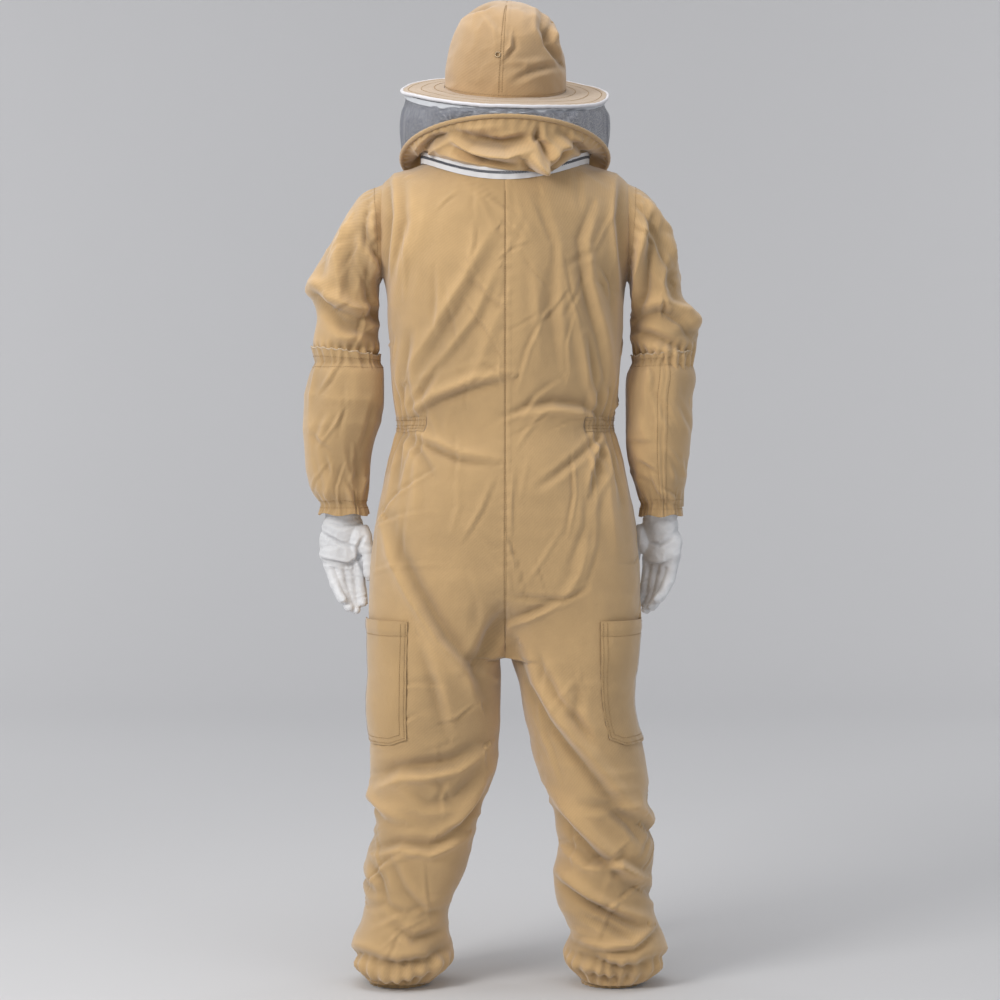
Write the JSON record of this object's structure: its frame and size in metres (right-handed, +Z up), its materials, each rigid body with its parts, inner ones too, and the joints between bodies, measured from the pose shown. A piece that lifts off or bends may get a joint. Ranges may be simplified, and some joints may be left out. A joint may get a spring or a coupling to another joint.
{
  "type": "beekeeping suit",
  "caption": "One-piece khaki cotton beekeeping coverall with a zip-on hat and mesh veil hood, long gauntlet gloves, thigh tool pockets and elastic cuffs.",
  "frame": {"origin": "On the plane of the trouser cuff bottoms, midway between the two legs and straight below the middle of the neck.", "axes": "+Z is up as worn, +Y is the wearer's front, +X is the wearer's right."},
  "size_m": [0.714, 0.3678, 1.792],
  "materials": {
    "khaki_cotton": "matt khaki cotton twill",
    "pocket_cotton": "matt khaki cotton twill",
    "khaki_elastic": "gathered cotton casing over elastic",
    "white_trim": "matt white woven tape",
    "zip_teeth": "grey moulded zip teeth",
    "zip_metal": "nickel-plated zip metal",
    "veil_mesh": "fine black open mesh",
    "white_leather": "soft white goatskin"
  },
  "bodies": {
    "coverall": {"back_panel_left": "khaki_cotton", "back_panel_right": "khaki_cotton", "front_panel_left": "khaki_cotton", "front_panel_right": "khaki_cotton", "crotch_gusset": "khaki_cotton", "waist_elastic_left": "khaki_elastic", "waist_elastic_right": "khaki_elastic", "front_zip_tape_left": "white_trim", "front_zip_tape_right": "white_trim", "front_zip_teeth": "zip_teeth", "chest_pocket": "pocket_cotton", "neck_zip_tape_lower": "white_trim", "neck_zip_teeth": "zip_teeth"},
    "hood": {"hat_crown_left": "khaki_cotton", "hat_crown_right": "khaki_cotton", "hat_brim": "khaki_cotton", "brim_piping": "white_trim", "hat_sweatband": "white_trim", "crown_eyelet": "zip_metal", "veil_binding": "white_trim", "veil_mesh_front": "veil_mesh", "veil_mesh_back": "veil_mesh", "veil_hoop": "khaki_cotton", "hood_skirt_front": "khaki_cotton", "hood_skirt_back": "khaki_cotton", "neck_zip_tape_upper": "white_trim"},
    "front_slider": {"front_zip_slider": "zip_metal"},
    "front_pull": {"front_zip_pull": "zip_metal"},
    "neck_slider_right": {"neck_zip_slider_right": "zip_metal"},
    "neck_pull_right": {"neck_zip_pull_right": "zip_metal"},
    "upper_arm_right": {"upper_sleeve_right": "khaki_cotton"},
    "forearm_right": {"fore_sleeve_right": "khaki_cotton", "sleeve_cuff_right": "khaki_elastic"},
    "glove_right": {"gauntlet_right": "khaki_cotton", "gauntlet_top_elastic_right": "khaki_elastic", "gauntlet_wrist_elastic_right": "khaki_elastic", "leather_glove_right": "white_leather"},
    "thigh_right": {"thigh_right": "khaki_cotton", "tool_pocket_right": "pocket_cotton"},
    "shin_right": {"shin_right": "khaki_cotton", "trouser_cuff_right": "khaki_elastic"},
    "neck_slider_left": {"neck_zip_slider_left": "zip_metal"},
    "neck_pull_left": {"neck_zip_pull_left": "zip_metal"},
    "upper_arm_left": {"upper_sleeve_left": "khaki_cotton"},
    "forearm_left": {"fore_sleeve_left": "khaki_cotton", "sleeve_cuff_left": "khaki_elastic"},
    "glove_left": {"gauntlet_left": "khaki_cotton", "gauntlet_top_elastic_left": "khaki_elastic", "gauntlet_wrist_elastic_left": "khaki_elastic", "leather_glove_left": "white_leather"},
    "thigh_left": {"thigh_left": "khaki_cotton", "tool_pocket_left": "pocket_cotton"},
    "shin_left": {"shin_left": "khaki_cotton", "trouser_cuff_left": "khaki_elastic"}
  },
  "joints": [
    {"name": "hood_fold", "type": "hinge", "parent": "coverall", "child": "hood", "pos_m": [0, -0.153, 1.474], "axis": [1, 0, 0], "range_deg": [0, 100]},
    {"name": "front_zip_run", "type": "slide", "parent": "coverall", "child": "front_slider", "axis": [0, 0, -1], "range_m": [0, 0.58]},
    {"name": "front_zip_tab", "type": "hinge", "parent": "front_slider", "child": "front_pull", "pos_m": [0, 0.1602, 1.364], "axis": [1, 0, 0], "range_deg": [0, 150]},
    {"name": "neck_zip_run_right", "type": "hinge", "parent": "coverall", "child": "neck_slider_right", "pos_m": [0, 0, 1.4038], "axis": [0, 0, -1], "range_deg": [0, 38]},
    {"name": "neck_zip_tab_right", "type": "hinge", "parent": "neck_slider_right", "child": "neck_pull_right", "pos_m": [0.00954, 0.16052, 1.4058], "axis": [0.9982, -0.0593, 0], "range_deg": [0, 95]},
    {"name": "shoulder_right", "type": "hinge", "parent": "coverall", "child": "upper_arm_right", "pos_m": [0.222, 0, 1.466], "axis": [0, -1, 0], "range_deg": [0, 50]},
    {"name": "elbow_right", "type": "hinge", "parent": "upper_arm_right", "child": "forearm_right", "pos_m": [0.29, 0.01, 1.165], "axis": [1, 0, 0], "range_deg": [0, 80]},
    {"name": "glove_off_right", "type": "slide", "parent": "forearm_right", "child": "glove_right", "axis": [0.1191, 0, -0.9929], "range_m": [0, 0.18]},
    {"name": "hip_right", "type": "hinge", "parent": "coverall", "child": "thigh_right", "pos_m": [0.13, 0, 0.56], "axis": [1, 0, 0], "range_deg": [-5, 45]},
    {"name": "knee_right", "type": "hinge", "parent": "thigh_right", "child": "shin_right", "pos_m": [0.15, 0, 0.37], "axis": [-1, 0, 0], "range_deg": [0, 55]},
    {"name": "neck_zip_run_left", "type": "hinge", "parent": "coverall", "child": "neck_slider_left", "pos_m": [0, 0, 1.4038], "axis": [0, 0, 1], "range_deg": [0, 38]},
    {"name": "neck_zip_tab_left", "type": "hinge", "parent": "neck_slider_left", "child": "neck_pull_left", "pos_m": [-0.00954, 0.16052, 1.4058], "axis": [0.9982, 0.0593, 0], "range_deg": [0, 95]},
    {"name": "shoulder_left", "type": "hinge", "parent": "coverall", "child": "upper_arm_left", "pos_m": [-0.222, 0, 1.466], "axis": [0, 1, 0], "range_deg": [0, 50]},
    {"name": "elbow_left", "type": "hinge", "parent": "upper_arm_left", "child": "forearm_left", "pos_m": [-0.29, 0.01, 1.165], "axis": [1, 0, 0], "range_deg": [0, 80]},
    {"name": "glove_off_left", "type": "slide", "parent": "forearm_left", "child": "glove_left", "axis": [-0.1191, 0, -0.9929], "range_m": [0, 0.18]},
    {"name": "hip_left", "type": "hinge", "parent": "coverall", "child": "thigh_left", "pos_m": [-0.13, 0, 0.56], "axis": [1, 0, 0], "range_deg": [-5, 45]},
    {"name": "knee_left", "type": "hinge", "parent": "thigh_left", "child": "shin_left", "pos_m": [-0.15, 0, 0.37], "axis": [-1, 0, 0], "range_deg": [0, 55]}
  ]
}
